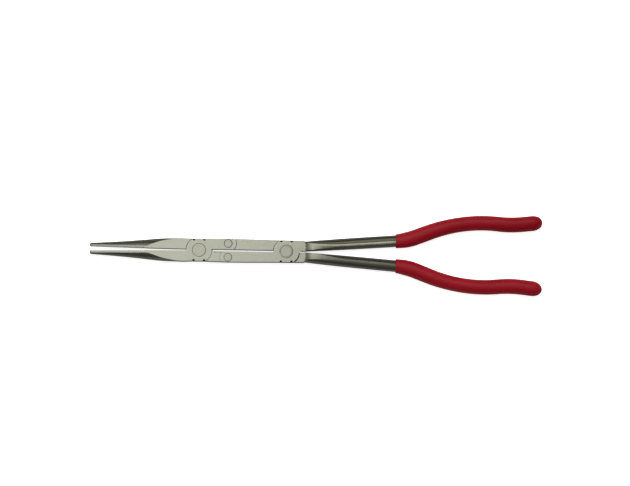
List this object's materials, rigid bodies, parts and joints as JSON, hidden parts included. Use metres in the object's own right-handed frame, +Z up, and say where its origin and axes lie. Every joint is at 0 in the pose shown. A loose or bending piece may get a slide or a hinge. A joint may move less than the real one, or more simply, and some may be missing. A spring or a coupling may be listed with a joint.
{
  "type": "double-jointed long-nose pliers",
  "caption": "Long-reach needle-nose pliers with a double-jointed body, slim toothed jaws and bent round handles in dipped soft grips.",
  "frame": {"origin": "under the middle of the tool, on the surface that it lies on", "axes": "+X from the jaw tips to the grip ends, +Y to the right of someone holding the grips, +Z up out of the flat side"},
  "size_m": [0.343, 0.0614, 0.011],
  "materials": {
    "forged_steel": "satin nickel plate over ground faces and drawn rods",
    "rivet_steel": "ground flush with the plated faces",
    "dipped_grip": "smooth satin red vinyl, dipped"
  },
  "bodies": {
    "left_handle": {"left_handle": "forged_steel", "left_grip": "dipped_grip", "handle_pivot_rivet": "rivet_steel", "left_link_rivet": "rivet_steel"},
    "right_handle": {"right_handle": "forged_steel", "right_grip": "dipped_grip", "right_link_rivet": "rivet_steel"},
    "left_jaw": {"left_jaw": "forged_steel", "jaw_pivot_rivet": "rivet_steel"},
    "right_jaw": {"right_jaw": "forged_steel"}
  },
  "joints": [
    {"name": "handle_pivot", "type": "hinge", "parent": "left_handle", "child": "right_handle", "pos_m": [-0.0225, 0, 0], "axis": [0, 0, 1], "range_deg": [-0.94, 18]},
    {"name": "left_link", "type": "hinge", "parent": "left_handle", "child": "left_jaw", "pos_m": [-0.0665, 0.0052, 0], "axis": [0, 0, 1], "range_deg": [-1.5, 27.7]},
    {"name": "jaw_pivot", "type": "hinge", "parent": "left_jaw", "child": "right_jaw", "pos_m": [-0.0885, 0, 0], "axis": [0, 0, -1], "range_deg": [-2, 37.4]}
  ],
  "couplings": [
    {"joint": "left_link", "follows": "handle_pivot", "ratio": 1.536},
    {"joint": "jaw_pivot", "follows": "handle_pivot", "ratio": 2.072}
  ]
}
